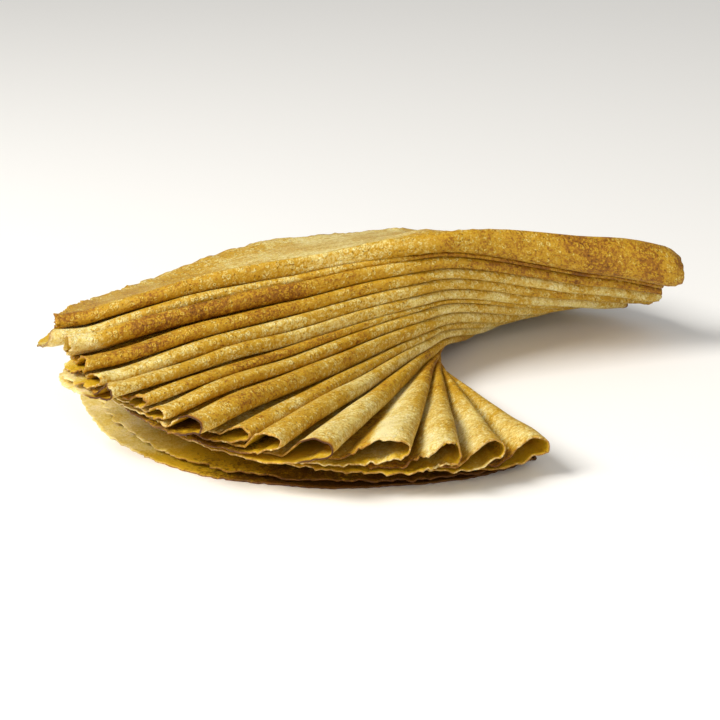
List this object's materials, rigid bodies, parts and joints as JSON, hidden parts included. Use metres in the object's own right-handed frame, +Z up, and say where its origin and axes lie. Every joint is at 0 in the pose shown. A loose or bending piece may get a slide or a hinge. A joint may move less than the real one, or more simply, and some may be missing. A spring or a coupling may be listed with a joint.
{
  "type": "stack of crepes",
  "caption": "Thin crepes folded in half and fanned out round one corner of the pile, with open fold ends along the front and a sagging right side.",
  "frame": {"origin": "on the floor, under the middle of the pile's outline; the line where all the folds cross stands at X 27.6 mm, Y 1.9 mm", "axes": "+Z up, +Y towards the back of the pile, +X towards the sagging right end of the top fold"},
  "size_m": [0.2686, 0.2822, 0.0668],
  "materials": {
    "crepe": "soft, slightly greasy griddled batter, golden with brown mottling"
  },
  "bodies": {
    "root": {"crepe_01": "crepe", "crepe_02": "crepe", "crepe_03": "crepe", "crepe_04": "crepe", "crepe_05": "crepe", "crepe_06": "crepe", "crepe_07": "crepe", "crepe_08": "crepe", "crepe_09": "crepe", "crepe_10": "crepe", "crepe_11": "crepe", "crepe_12": "crepe", "crepe_13": "crepe", "crepe_14": "crepe", "crepe_15": "crepe", "crepe_16": "crepe", "crepe_17": "crepe", "crepe_18": "crepe"}
  },
  "joints": []
}
